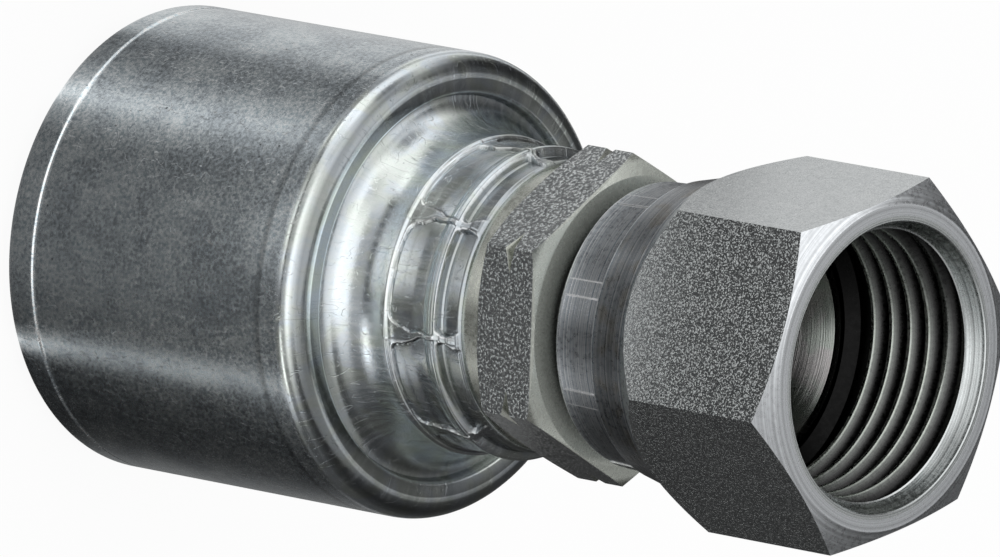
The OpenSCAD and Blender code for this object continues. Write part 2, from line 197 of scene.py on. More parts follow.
class Shader(Nodes):
    """Builds one procedural material. Lengths in it are in millimetres."""

    def __init__(self, name):
        self.material = bpy.data.materials.new(name)
        self.material.use_nodes = True
        super().__init__(self.material.node_tree)
        place = self.node("ShaderNodeTexCoord").outputs["Object"]
        scaled = self.node("ShaderNodeVectorMath", {0: place, "Scale": 1 / MM}, operation="SCALE")
        self.place = scaled.outputs[0]
        self.x, self.y, self.z = self.node("ShaderNodeSeparateXYZ", {0: self.place}).outputs
        self.r = self.math("SQRT", self.plus(self.times(self.x, self.x), self.times(self.y, self.y)))
        self.turn = self.math("ARCTAN2", self.y, self.x)

    def times(self, a, b):
        return self.math("MULTIPLY", a, b)

    def plus(self, a, b):
        return self.math("ADD", a, b)

    def minus(self, a, b):
        return self.math("SUBTRACT", a, b)

    def vector(self, x, y, z):
        return self.node("ShaderNodeCombineXYZ", {0: x, 1: y, 2: z}).outputs[0]

    def lengthwise(self, stretch):
        """A place on the wall whose pattern is drawn out along the axis."""
        unit_x = self.math("DIVIDE", self.x, self.r)
        unit_y = self.math("DIVIDE", self.y, self.r)
        return self.vector(self.times(unit_x, 18.0), self.times(unit_y, 18.0),
                           self.math("DIVIDE", self.z, stretch))

    def noise(self, scale, detail=3.0, roughness=0.5, distortion=0.0, at=None):
        return self.node("ShaderNodeTexNoise", {
            "Vector": at or self.place, "Scale": scale, "Detail": detail, "Roughness": roughness,
            "Distortion": distortion}).outputs[0]

    def cells(self, scale):
        return self.node("ShaderNodeTexVoronoi", {"Vector": self.place, "Scale": scale}).outputs["Distance"]

    def step(self, value, low, high, out_low=0.0, out_high=1.0):
        """A smooth step of value from low to high."""
        inputs = {0: value, 1: low, 2: high, 3: out_low, 4: out_high}
        made = self.node("ShaderNodeMapRange", inputs, interpolation_type="SMOOTHSTEP", clamp=True)
        return made.outputs[0]

    def past(self, value, place, soft):
        """Nought before a place and one past it, with a soft edge."""
        return self.step(value, place - soft, place + soft)

    def band(self, value, low, high, soft):
        """One between low and high, with soft edges, and nought outside."""
        fall = self.step(value, high - soft, high + soft, 1.0, 0.0)
        return self.times(self.past(value, low, soft), fall)

    def lean(self):
        """How far a face looks along the axis: nought for a side and one for an end."""
        side = self.node("ShaderNodeTexCoord").outputs["Normal"]
        return self.math("ABSOLUTE", self.node("ShaderNodeSeparateXYZ", {0: side}).outputs[2])

    def mix(self, factor, a, b, blend="MIX"):
        made = self.node("ShaderNodeMix", data_type="RGBA", blend_type=blend, clamp_factor=True)
        self.join(factor, made.inputs["Factor"])
        colours = [s for s in made.inputs if s.type == "RGBA"]
        self.join(self.grey(a), colours[0])
        self.join(self.grey(b), colours[1])
        return [s for s in made.outputs if s.type == "RGBA"][0]

    def shaded(self, a, b):
        """One tone multiplied by another."""
        return self.mix(1.0, a, b, "MULTIPLY")

    def mottled(self, share, tone, pattern, dark, light, low=0.3, high=0.7):
        """A tone that a pattern darkens and lightens."""
        return self.mix(share, tone, self.step(pattern, low, high, dark, light), "OVERLAY")

    def grey(self, tone):
        """A colour for a number, and a colour as it is."""
        return (tone, tone, tone) if isinstance(tone, (int, float)) else tone

    def ramp(self, value, low, high, stops):
        """A run of tones over value, each stop a place between low and high and its tone."""
        share = self.math("DIVIDE", self.minus(value, low), high - low, clamp=True)
        made = self.node("ShaderNodeValToRGB", {0: share})
        ends = made.color_ramp.elements
        while len(ends) < len(stops):
            ends.new(0.5)
        for element, (place, tone) in zip(ends, stops):
            element.position = (place - low) / (high - low)
        for element, (place, tone) in zip(ends, stops):
            element.color = (*self.grey(tone), 1.0)
        return made.outputs["Color"]

    def read(self, name):
        """A number that the mesh keeps at each of its points."""
        return self.node("ShaderNodeAttribute", attribute_name=name).outputs["Fac"]

    def scratches(self, scale, width, cover, at=None):
        """Fine lines where a drawn out noise passes its middle, broken up by a second one."""
        line = self.math("ABSOLUTE", self.minus(self.noise(scale, 1.5, 0.4, 0.6, at), 0.5))
        thin = self.step(line, 0.0, width, 1.0, 0.0)
        where = self.step(self.noise(scale * 1.7, 2.0, 0.5, 0.0, at), cover, cover + 0.05)
        return self.times(thin, where)

    def bump(self, height, strength, distance, under=None):
        """Raises a surface by a height, over another bump where one is given."""
        inputs = {"Strength": strength, "Distance": distance * MM, "Height": height}
        if under is not None:
            inputs["Normal"] = under
        return self.node("ShaderNodeBump", inputs).outputs["Normal"]

    def metal(self, colour, roughness, normal, bare=1.0):
        """Ends the material as plated metal, dull where bare is under one."""
        return self.surface(self.node("ShaderNodeBsdfPrincipled", {
            "Metallic": bare, "Base Color": colour, "Roughness": roughness, "Normal": normal}))

    def surface(self, shader):
        """Makes a shader the material's surface."""
        self.node("ShaderNodeOutputMaterial", {"Surface": shader.outputs[0]})
        return self.material

    def glow(self, shader):
        """Makes a glowing shader the material's surface, with no rays aimed at it."""
        self.material.cycles.emission_sampling = "NONE"
        return self.surface(shader)


def finish_node(name, material):
    """Puts a material into every slot of a CAD node."""
    for used in frame["nodes"][name].material_slots:
        used.material = material


def clear_selection():
    """Leaves edit mode with nothing selected."""
    if bpy.context.mode != "OBJECT":
        bpy.ops.object.mode_set(mode="OBJECT")
    bpy.ops.object.select_all(action="DESELECT")


def draw_outline(name, points):
    """Adds an object whose closed outline is extruded point by point in the XZ plane."""
    clear_selection()
    bpy.ops.mesh.primitive_plane_add(size=MM)
    piece = bpy.context.object
    piece.name = piece.data.name = name
    bpy.ops.object.mode_set(mode="EDIT")
    bpy.ops.mesh.merge(type="CENTER")
    bpy.ops.transform.translate(value=(points[0][0], 0, points[0][1]))
    for (r0, z0), (r1, z1) in zip(points, points[1:]):
        bpy.ops.mesh.extrude_region_move(TRANSFORM_OT_translate={"value": (r1 - r0, 0, z1 - z0)})
    bpy.ops.mesh.select_all(action="SELECT")
    bpy.ops.mesh.edge_face_add()
    bpy.ops.mesh.delete(type="ONLY_FACE")
    bpy.ops.object.mode_set(mode="OBJECT")
    return piece


def sweep_round(piece, steps, rise=0.0, turns=1):
    """Sweeps an outline round the axis, and up by rise in each turn."""
    screw = piece.modifiers.new("sweep", "SCREW")
    screw.axis = "Z"
    screw.screw_offset = rise
    screw.iterations = turns
    screw.steps = screw.render_steps = steps
    screw.use_merge_vertices = rise == 0
    screw.merge_threshold = 0.001 * MM
    bpy.context.view_layer.objects.active = piece
    bpy.ops.object.modifier_apply(modifier=screw.name)


def smooth_by_angle(piece, degrees):
    """Smooths a piece's faces, with sharp edges past an angle."""
    clear_selection()
    piece.select_set(True)
    bpy.ops.object.shade_smooth_by_angle(angle=math.radians(degrees))


def face_outwards():
    """Turns the active piece's faces outwards."""
    bpy.ops.object.mode_set(mode="EDIT")
    bpy.ops.mesh.select_all(action="SELECT")
    bpy.ops.mesh.normals_make_consistent(inside=False)
    bpy.ops.object.mode_set(mode="OBJECT")


def eased(x):
    """A smooth step from nought to one."""
    x = min(max(x, 0.0), 1.0)
    return x * x * (3 - 2 * x)


def along_stops(stops, x):
    """The value at x on a smooth line through stops, each a place and a value."""
    if x <= stops[0][0]:
        return stops[0][1]
    for (x0, y0), (x1, y1) in zip(stops, stops[1:]):
        if x <= x1:
            return y0 + (y1 - y0) * eased((x - x0) / (x1 - x0))
    return stops[-1][1]


def round_points(centre, wide, high, first, last, steps):
    """Points on an arc, or on an oval where wide and high differ. Angles are in degrees."""
    turns = [math.radians(first + (last - first) * i / steps) for i in range(steps + 1)]
    return [(centre[0] + wide * math.cos(a), centre[1] + high * math.sin(a)) for a in turns]


# The shell, whose collar eight jaws have pressed into the stem

# Each list gives distances from the crease and what the collar has there, in millimetres:
# its radius under a jaw, its radius between two jaws, and the width of a fold
PRESSED = ((0.0, 12.1), (0.14, 11.9), (1.1, 11.85), (2.15, 11.8), (3.4, 11.86), (3.95, 12.02),
           (4.3, 12.07), (4.42, 12.03), (4.66, 11.42), (4.95, 11.25), (6.25, 11.25))
UNPRESSED = ((-0.4, 12.15), (0.0, 12.1), (0.7, 12.04), (2.0, 12.0), (3.4, 12.02), (4.0, 12.12),
             (4.4, 12.12), (4.8, 11.74), (5.4, 11.5), (6.2, 11.4))
FOLD_WIDTH = ((0.0, 1.8), (1.1, 1.25), (2.3, 0.62), (3.3, 0.3), (4.3, 0.22), (4.7, 0.4), (6.6, 1.3))
# Where the folds start and end, and where the jaws' second band starts
FOLD_START, FOLD_END = -0.7, 6.55
SECOND_BAND = 4.62
# Radius of a pressed panel's corners, width of the slope at its edge, and least wall that is pressed
CORNER = 0.5
BITE = 0.13
SKIN = 0.8


class FITTING_OT_add_shell(bpy.types.Operator):
    """Adds the shell with its rolled edge, dished front and staked collar"""

    bl_idname = "fitting.add_shell"
    bl_label = "Add Shell"

    def execute(self, context):
        sizes = context.scene.fitting_shell
        shell = draw_outline("shell_body", self.outline(sizes))
        sweep_round(shell, sizes.steps)
        face_outwards()
        self.press_collar(shell, sizes)
        smooth_by_angle(shell, 40)
        shell.data.materials.append(self.finish(context))
        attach(shell, "fitting")
        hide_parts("shell")
        return {"FINISHED"}

    def outline(self, sizes):
        """Half the section: up the outside, over the collar, and down the inside."""
        radius, wall, rim = sizes.radius, sizes.wall, sizes.rim
        ring_out = radius - sizes.shoulder
        ring_in = ring_out - sizes.ring
        floor = rim - sizes.dish
        foot = ring_in - 0.44 * MM
        turn = math.degrees(math.acos(1 - (sizes.neck - sizes.crease_radius) / sizes.neck_round))
        neck_top = sizes.crease - sizes.neck_round * math.sin(math.radians(turn))
        rise = (neck_top - floor) * 0.9
        outside = [(radius - sizes.lip, 0)]
        outside += round_points((radius - sizes.edge, sizes.edge), sizes.edge, sizes.edge, -90, 0, 12)
        for offset, depth in ((-0.15, 0), (-0.05, 1), (0.05, 1), (0.15, 0)):
            outside.append((radius - sizes.score_depth * depth, sizes.score + offset * MM))
        outside += [(radius, sizes.score + share * (rim - sizes.score)) for share in (0.25, 0.5, 0.75)]
        outside += round_points((ring_out, rim - sizes.shoulder), sizes.shoulder, sizes.shoulder, 0, 90, 14)
        outside += [(ring_in + 0.05 * MM, rim), (ring_in - 0.1 * MM, rim - 0.06 * MM)]
        outside += [(ring_in - 0.2 * MM, rim - 0.2 * MM), (foot + 0.08 * MM, floor + 0.12 * MM)]
        outside += round_points((foot, floor + rise), foot - sizes.neck, rise, -90, -180, 22)
        outside += round_points((sizes.neck - sizes.neck_round, neck_top),
                                sizes.neck_round, sizes.neck_round, 0, turn, 8)
        places = [0.03, 0.07, 0.11, 0.15, 0.2, 0.26, 0.33]
        places += [0.33 + 0.12 * i for i in range(1, 29)] + [3.76, 3.84]
        places += [3.9 + 0.06 * i for i in range(20)] + [5.15 + 0.11 * i for i in range(10)]
        outside += [(along_stops(PRESSED, p) * MM, sizes.crease + p * MM) for p in places]
        end = sizes.collar_end
        corner = 0.35 * MM
        outside += round_points((PRESSED[-1][1] * MM - corner, end - corner), corner, corner, 0, 90, 6)
        edge = wall * 0.52
        inside = [(sizes.stake, end), (sizes.stake, sizes.crease - wall)]
        inside += [(sizes.neck - wall, sizes.crease - wall - (sizes.neck - wall - sizes.stake))]
        inside += round_points((sizes.neck - wall + edge, floor - wall + edge), edge, edge, 180, 270, 5)
        inside += round_points((radius - wall - edge, floor - wall - edge), edge, edge, 90, 0, 5)
        inside += [(radius - wall, wall), (radius - sizes.lip, wall)]
        return outside + inside

    def press_collar(self, shell, sizes):
        """Gathers points towards the folds, lifts the metal left between the jaws, and keeps painted shade
        for its creases and painted highlights for its edges.
        """
        sector = math.tau / sizes.jaws
        # Painted shade for the creases and painted highlights for the panels' edges, kept at each point
        crease_shade = shell.data.attributes.new("crease_line", "FLOAT", "POINT")
        edge_highlight = shell.data.attributes.new("pressed_edge", "FLOAT", "POINT")
        for vertex in shell.data.vertices:
            radius = math.hypot(vertex.co.x, vertex.co.y)
            angle = math.atan2(vertex.co.y, vertex.co.x) - sizes.first_fold
            number = round(angle / sector)
            share = angle / sector - number
            share -= 0.55 * math.sin(math.tau * share) / math.tau
            place = (vertex.co.z - sizes.crease) / MM
            if radius > sizes.stake + SKIN * MM and place > FOLD_START:
                radius, line, edge = self.pressed(radius / MM, place, share * sector, number % sizes.jaws)
                radius *= MM
                crease_shade.data[vertex.index].value = line
                edge_highlight.data[vertex.index].value = edge
            angle = (share + number) * sector + sizes.first_fold
            vertex.co.x = radius * math.cos(angle)
            vertex.co.y = radius * math.sin(angle)

    def pressed(self, radius, place, angle, number):
        """Radius, painted shade of the crease and painted highlight of the edge at one point of the collar.
        """
        wander = 0.16 * math.sin(place * 1.3 + number * 2.1) + 0.06 * math.sin(place * 3.7 + number * 1.3)
        across = angle * radius - wander * eased(place / 1.5)
        bow = 0.07 * math.sin(angle * 9 + number) + 0.16 * math.exp(-(across / 1.4) ** 2)
        width = along_stops(FOLD_WIDTH, place) * (1 + 0.14 * math.sin(number * 1.9))
        side = abs(across) - width / 2
        rear = place - bow if place < SECOND_BAND - 0.07 else place - SECOND_BAND
        if side < CORNER and rear < CORNER:
            inward = CORNER - math.hypot(max(CORNER - side, 0), max(CORNER - rear, 0))
        else:
            inward = min(side, rear)
        bitten = eased(inward / BITE)
        top = along_stops(UNPRESSED, place)
        fade = eased((FOLD_END - place) / 0.4) * eased((place - FOLD_START) / 0.7)
        lifted = radius + max(top - radius, 0) * fade * (1 - bitten)
        # pinch and lap dent and lift the metal a little, and also give the crease's painted shade; edge
        # gives the panel edge's painted highlight
        pinch = math.exp(-((inward - 0.1) / 0.07) ** 2) * fade * eased((place + 0.15) / 0.15)
        lifted -= 0.045 * pinch
        edge = math.exp(-((inward + 0.06) / 0.07) ** 2) * fade
        lap = math.exp(-((across - width * 0.3) / 0.09) ** 2) * eased(width / 0.5) * fade * (1 - bitten)
        return lifted + 0.03 * lap, min(pinch + 0.35 * lap, 1), edge

    def finish(self, context):
        tones = context.scene.fitting_finish
        shade = Shader("shell_drawn_steel")
        drawn = shade.lengthwise(9.0)
        streaks = shade.step(shade.noise(0.42, 4.0, 0.6, 0.2, drawn), 0.34, 0.68)
        clouds = shade.step(shade.noise(0.2, 6.0, 0.66, 0.5), 0.38, 0.64)
        grain = shade.noise(3.4, 5.0, 0.75)
        patches = shade.plus(shade.times(streaks, 0.3), shade.times(clouds, 0.7))
        wall = shade.mix(patches, tuple(tones.shell_dark), tuple(tones.shell_light))
        wall = shade.mottled(0.8, wall, grain, 0.2, 0.8)

        # Scuffs, pits and scratches on the wall
        scuffs = shade.times(shade.step(shade.noise(2.6, 4.0, 0.7, 0.4), 0.55, 0.66),
                             shade.step(shade.noise(0.13, 3.0, 0.6, 0.3), 0.46, 0.6))
        wall = shade.mix(shade.times(scuffs, 0.55), wall, (0.80, 0.86, 0.88))
        pits = shade.step(shade.cells(1.1), 0.05, 0.13, 1.0, 0.0)
        pits = shade.times(pits, shade.step(shade.noise(0.5, 2.0), 0.5, 0.62))
        wall = shade.mix(shade.times(pits, 0.8), wall, 0.04)
        lines = shade.plus(shade.scratches(0.55, 0.006, 0.5),
                           shade.scratches(1.3, 0.012, 0.52, shade.lengthwise(3.0)))
        wall = shade.mix(shade.times(lines, 0.5), wall, 0.85)

        # Rings along the wall, the front and the collar
        along = shade.ramp(shade.z, 0.0, 42.0, [
            (0.0, 0.62), (0.5, 0.5), (1.2, 0.42), (3.3, 0.45), (3.5, 0.95), (3.72, 0.95),
            (3.9, 0.42), (26.4, 0.45), (27.0, 0.24), (27.3, 0.5), (28.6, 0.42), (29.0, 1.0),
            (29.9, 1.0), (34.8, 0.95), (35.1, 1.0), (36.0, 0.8), (37.0, 0.62), (38.4, 0.8),
            (39.1, 1.0), (39.7, 0.7), (40.3, 0.5), (41.4, 0.6)])
        # On the front, painted shade darkens the dish floor towards the ring's inner corner, and thin
        # painted highlights lie on the two edges of the flat ring; the flat ring and the shoulder's inner
        # half are darker
        across = shade.ramp(shade.r, 12.0, 18.0, [
            (12.0, 1.0), (13.3, 1.0), (14.1, 0.6), (14.75, 0.5), (14.9, 0.35), (15.1, 1.0), (15.25, 0.36),
            (16.1, 0.36), (16.2, 1.0), (16.45, 0.9), (16.6, 0.42), (17.3, 0.36), (17.6, 0.6), (17.75, 1.0)])
        front = shade.times(shade.step(shade.z, 29.7, 29.85),
                            shade.step(shade.z, 31.02, 31.2, 1.0, 0.0))
        rings = shade.mix(front, along, across)
        pressed = shade.step(shade.z, 28.6, 29.0)
        tint = shade.mix(shade.step(shade.noise(0.35, 2.0, 0.5, 0.8), 0.4, 0.62),
                         (0.88, 0.94, 1.0), (0.90, 0.95, 0.92))
        bright = shade.shaded(tuple(tones.polished), tint)
        smears = shade.noise(1.6, 4.0, 0.65, 0.3, shade.lengthwise(6.0))
        bright = shade.mottled(0.5, bright, smears, 0.34, 0.66)
        bright = shade.mottled(0.5, bright, grain, 0.4, 0.62, 0.35, 0.65)
        bright = shade.shaded(bright, rings)
        wall = shade.shaded(wall, shade.shaded(rings, 2.2))
        colour = shade.mix(pressed, wall, bright)
        rough = shade.mix(pressed, shade.step(grain, 0.3, 0.7, 0.2, 0.32),
                          shade.step(smears, 0.3, 0.7, 0.13, 0.25))
        normal = shade.bump(grain, 0.2, 0.03)
        normal = shade.bump(shade.plus(pits, lines), 0.4, -0.03, normal)
        # Painted shade darkens the creases and laps of the folds, and a painted highlight lightens the
        # edges of the pressed panels
        colour = shade.mix(shade.times(shade.read("crease_line"), 0.55), colour, 0.06)
        colour = shade.mix(shade.times(shade.read("pressed_edge"), 0.4), colour, 0.95)
        return shade.metal(colour, rough, normal)


# Finishes of the other pieces

# Places along the axis and radii where a finish starts or ends, in millimetres
STEM_HEX = (43.2, 48.95)
STEM_HEX_RADIUS = 11.05
STEM_FRONT = (48.6, 49.7)
STEM_SEAT = 58.0
NUT_MARKS = (51.4, 54.9)
NUT_RUST = (55.3, 58.4)
NUT_HEX = 58.1
NUT_HEX_RADIUS = 12.375
NUT_FACE = 73.5
NUT_BORE = 56.3
NUT_BORE_RADIUS = 11.38
# Number of marks that the swaging jaws left on the nut, and turn of the first one in degrees
MARKS = 8
MARK_TURN = -22.1


class FITTING_OT_finish_sleeve(bpy.types.Operator):
    """Finishes the toothed grip sleeve inside the shell"""

    bl_idname = "fitting.finish_sleeve"
    bl_label = "Finish Grip Sleeve"

    def execute(self, context):
        shade = Shader("sleeve_steel")
        tone = tuple(context.scene.fitting_finish.sleeve_tone)
        grain = shade.noise(2.6, 5.0, 0.7)
        turned = shade.noise(2.0, 2.0, 0.5, 0.0, shade.vector(0.0, 0.0, shade.times(shade.z, 6.0)))
        colour = shade.mottled(0.6, tone, grain, 0.3, 0.75)
        colour = shade.mottled(0.4, colour, turned, 0.3, 0.7)
        normal = shade.bump(shade.plus(grain, turned), 0.3, 0.03)
        finish_node("grip_sleeve", shade.metal(colour, shade.step(grain, 0.3, 0.7, 0.3, 0.5), normal))
        return {"FINISHED"}


def blasted(shade, tones, size):
    """Granular blasted plating for the flats of a hex: its colour, roughness and height."""
    grains = shade.noise(size, 2.0, 0.55, 0.3)
    coarse = shade.noise(size * 0.22, 3.0, 0.6)
    dark, light = tuple(tones.blasted_dark), tuple(tones.blasted_light)
    colour = shade.mix(shade.step(grains, 0.36, 0.62), dark, light)
    colour = shade.mottled(0.3, colour, coarse, 0.35, 0.65)
    sparkle = shade.step(grains, 0.55, 0.72, 0.0, 0.4)
    height = shade.plus(sparkle, shade.times(shade.noise(size * 2.1, 1.0), 0.05))
    return colour, shade.step(grains, 0.45, 0.65, 0.12, 0.2), height


def turned_lines(shade, along, density):
    """Fine rings left by a turning tool, along a radius or the axis."""
    place = shade.vector(shade.times(along, density), 0.0, 0.0)
    return shade.noise(1.0, 4.0, 0.7, 0.0, place)


class FITTING_OT_finish_stem(bpy.types.Operator):
    """Finishes the stem: blasted hex flats and turned round parts"""

    bl_idname = "fitting.finish_stem"
    bl_label = "Finish Stem"

    def execute(self, context):
        tones = context.scene.fitting_finish
        shade = Shader("stem_plated_steel")
        flats, flats_rough, flats_height = blasted(shade, tones, 4.6)
        rings = turned_lines(shade, shade.plus(shade.z, shade.r), 7.0)
        grain = shade.noise(2.2, 4.0, 0.6)
        smooth = shade.mottled(0.35, (0.66, 0.68, 0.62), rings, 0.25, 0.75)
        smooth = shade.mottled(0.3, smooth, grain, 0.3, 0.7)
        # Painted shade along the axis: the turned parts darken from the hex's front face towards the nut's
        # collar and stay nearly black under it, and are a little darker at the rear end by the shell's
        # collar
        stem_painted_shade = shade.ramp(shade.z, 40.0, 63.0, [
            (40.0, 0.6), (41.4, 0.9), (43.0, 1.0), (44.0, 0.9), (48.8, 0.75), (49.0, 0.7),
            (50.0, 0.35), (51.0, 0.12), (61.5, 0.6), (62.8, 0.7)])
        smooth = shade.shaded(smooth, stem_painted_shade)
        upright = shade.step(shade.lean(), 0.04, 0.12, 1.0, 0.0)
        outer = shade.past(shade.r, STEM_HEX_RADIUS, 0.05)
        hex_part = shade.times(shade.band(shade.z, *STEM_HEX, 0.1), outer)
        on_flat = shade.times(upright, hex_part)
        colour = shade.mix(on_flat, smooth, flats)
        rough = shade.mix(on_flat, shade.step(grain, 0.3, 0.7, 0.2, 0.34), flats_rough)
        height = shade.mix(on_flat, shade.times(rings, 0.12), flats_height)

        # The duller face in front of the hex, and the bright seat
        front = shade.band(shade.z, *STEM_FRONT, 0.1)
        # Painted shade: the face darkens towards its inner edge, in the gap before the nut's collar
        depth = shade.ramp(shade.r, 8.0, 13.0, [(8.0, 0.04), (8.9, 0.12), (9.6, 0.75), (11.0, 1.0)])
        colour = shade.mix(front, colour, shade.shaded((0.68, 0.71, 0.65), depth))
        bare = shade.minus(1.0, shade.times(front, 0.45))
        seat = shade.past(shade.z, STEM_SEAT, 0.5)
        sheen = shade.step(shade.noise(0.45, 2.0, 0.5, 0.5), 0.38, 0.62)
        plated = shade.mix(sheen, (0.42, 0.46, 0.43), (0.48, 0.44, 0.46))
        colour = shade.mix(shade.times(seat, 0.6), colour, plated)
        rough = shade.mix(seat, rough, 0.14)
        finish_node("stem", shade.metal(colour, rough, shade.bump(height, 1.0, 0.065), bare))
        return {"FINISHED"}


class FITTING_OT_finish_nut(bpy.types.Operator):
    """Finishes the swivel nut: blasted flats, swaged collar and turned mouth"""

    bl_idname = "fitting.finish_nut"
    bl_label = "Finish Swivel Nut"

    def execute(self, context):
        tones = context.scene.fitting_finish
        shade = Shader("nut_plated_steel")
        flats, flats_rough, flats_height = blasted(shade, tones, 7.0)
        face_rings = turned_lines(shade, shade.r, 4.5)
        side_rings = turned_lines(shade, shade.z, 6.0)
        grain = shade.noise(2.4, 4.0, 0.65)
        # Painted light along the axis: a painted highlight on the collar's rear edge, and painted shade
        # that darkens the collar towards the hex; lighter again near 55 mm and at the front end
        along = shade.ramp(shade.z, 50.0, 75.0, [
            (50.7, 1.2), (51.5, 0.85), (52.8, 0.55), (54.6, 0.45), (55.1, 0.8), (55.4, 0.45),
            (56.2, 0.4), (57.4, 0.32), (58.5, 0.45), (59.2, 0.7), (61.8, 0.8), (73.6, 0.8), (74.5, 1.0)])
        rust = shade.step(shade.noise(0.5, 2.0), 0.45, 0.65)
        turned = shade.mix(shade.times(rust, shade.band(shade.z, *NUT_RUST, 0.3)),
                           tuple(tones.turned), (0.50, 0.49, 0.46))
        turned = shade.mottled(0.9, turned, side_rings, 0.12, 0.95, 0.4, 0.62)
        turned = shade.mottled(0.4, turned, grain, 0.3, 0.7)
        turned = shade.shaded(turned, along)
        jaw = math.tau / MARKS
        place = shade.plus(shade.turn, math.tau - math.radians(MARK_TURN) + jaw / 2)
        off_mark = shade.math("ABSOLUTE", shade.minus(shade.math("MODULO", place, jaw), jaw / 2))
        marks = shade.times(shade.band(off_mark, 0.054, 0.064, 0.006),
                            shade.band(shade.z, *NUT_MARKS, 0.15))
        turned = shade.mix(shade.times(marks, 0.75), turned, 0.95)
        face = shade.shaded((0.90, 0.93, 0.96), shade.step(face_rings, 0.38, 0.62, 0.66, 1.0))
        bore = shade.mottled(0.6, (0.34, 0.36, 0.33), side_rings, 0.2, 0.8)
        # Painted shade: the bore is darkened, and is nearly black where z is under 63 mm, away from the
        # mouth
        bore = shade.mix(shade.step(shade.z, 63.0, 68.0), (0.012, 0.012, 0.012), shade.shaded(bore, 0.35))

        # Where each finish lies
        lean = shade.lean()
        upright = shade.step(lean, 0.04, 0.12, 1.0, 0.0)
        hex_part = shade.times(shade.past(shade.r, NUT_HEX_RADIUS, 0.075),
                               shade.past(shade.z, NUT_HEX, 0.1))
        on_flat = shade.times(upright, hex_part)
        on_face = shade.times(shade.step(lean, 0.3, 0.5), shade.past(shade.z, NUT_FACE, 0.1))
        in_bore = shade.step(shade.r, NUT_BORE_RADIUS - 0.04, NUT_BORE_RADIUS + 0.04, 1.0, 0.0)
        inside = shade.times(in_bore, shade.past(shade.z, NUT_BORE, 0.1))
        colour = shade.mix(on_flat, turned, flats)
        colour = shade.mix(on_face, colour, face)
        colour = shade.mix(inside, colour, bore)
        rough = shade.mix(on_flat, shade.step(grain, 0.3, 0.7, 0.24, 0.38), flats_rough)
        height = shade.mix(on_flat, shade.times(side_rings, 0.12), flats_height)
        height = shade.mix(on_face, height, shade.times(face_rings, 0.12))
        finish_node("swivel_nut", shade.metal(colour, rough, shade.bump(height, 1.0, 0.045)))
        return {"FINISHED"}


# The thread in the nut's mouth

class FITTING_OT_add_thread(bpy.types.Operator):
    """Adds the thread in the nut's mouth, on the wall of its bore"""

    bl_idname = "fitting.add_thread"
    bl_label = "Add Thread"

    def execute(self, context):
        sizes = context.scene.fitting_thread
        mount = next(m for m in frame["record"]["mounts"] if m["name"] == "nut_thread")
        wall = mount["dims"]["r_mm"] * MM
        reach = mount["dims"]["length_mm"] * MM
        low = mount["pos_m"][2] - reach / 2
        sunk = 0.06 * MM
        base = sizes.pitch * 0.44
        turns = int((reach - 2 * base) / sizes.pitch)
        section = [
            (wall + sunk, -base), (wall - sizes.depth * 0.2, -base * 0.86),
            (wall - sizes.depth * 0.93, -sizes.crest * 0.62), (wall - sizes.depth, -sizes.crest * 0.35)]
        section += [(r, -z) for r, z in reversed(section)]
        start = low + base
        thread = draw_outline("nut_thread_ridge", [(r, start + z) for r, z in section])
        sweep_round(thread, sizes.steps, sizes.pitch, turns)
        self.run_out(thread, turns * sizes.steps, len(section), wall + sunk, sizes)

        # Its ends are capped and it is turned to where it starts
        count = len(section)
        for first in (0, len(thread.data.vertices) - count):
            bpy.ops.object.mode_set(mode="EDIT")
            bpy.ops.mesh.select_mode(type="VERT")
            bpy.ops.mesh.select_all(action="DESELECT")
            bpy.ops.object.mode_set(mode="OBJECT")
            for vertex in thread.data.vertices[first:first + count]:
                vertex.select = True
            bpy.ops.object.mode_set(mode="EDIT")
            bpy.ops.mesh.edge_face_add()
        bpy.ops.mesh.select_all(action="SELECT")
        bpy.ops.transform.rotate(value=-sizes.start, orient_axis="Z", center_override=(0, 0, 0))
        bpy.ops.mesh.normals_make_consistent(inside=False)
        bpy.ops.object.mode_set(mode="OBJECT")
        smooth_by_angle(thread, 35)
        thread.data.materials.append(self.finish(wall))
        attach(thread, "nut")
        return {"FINISHED"}

    def run_out(self, thread, steps, count, rest, sizes):
        """Lets the ridge rise out of the wall at both ends."""
        fade = sizes.steps * 0.45
        for vertex in thread.data.vertices:
            step = min(vertex.index // count, steps)
            share = min(step, steps - step) / fade
            if share < 1:
                share = 0.03 + 0.97 * math.sin(share * math.pi / 2)
                radius = math.hypot(vertex.co.x, vertex.co.y)
                wanted = rest - (rest - radius) * share
                vertex.co.x *= wanted / radius
                vertex.co.y *= wanted / radius

    def finish(self, wall):
        shade = Shader("thread_plated_steel")
        mm_wall = wall / MM
        grain = shade.noise(3.0, 4.0, 0.65)
        rings = turned_lines(shade, shade.r, 16.0)
        # Painted shade: the flanks darken to nearly black towards the roots between the crests
        colour = shade.ramp(shade.r, mm_wall - 1.0, mm_wall, [
            (mm_wall - 1.0, (0.66, 0.70, 0.65)), (mm_wall - 0.93, (0.56, 0.60, 0.55)),
            (mm_wall - 0.84, (0.20, 0.21, 0.20)), (mm_wall - 0.5, (0.07, 0.07, 0.07)),
            (mm_wall - 0.1, (0.02, 0.02, 0.02))])
        colour = shade.mottled(0.5, colour, grain, 0.3, 0.7)
        colour = shade.mottled(0.4, colour, rings, 0.25, 0.75)
        return shade.metal(colour, shade.step(grain, 0.3, 0.7, 0.22, 0.38), shade.bump(rings, 0.3, 0.03))


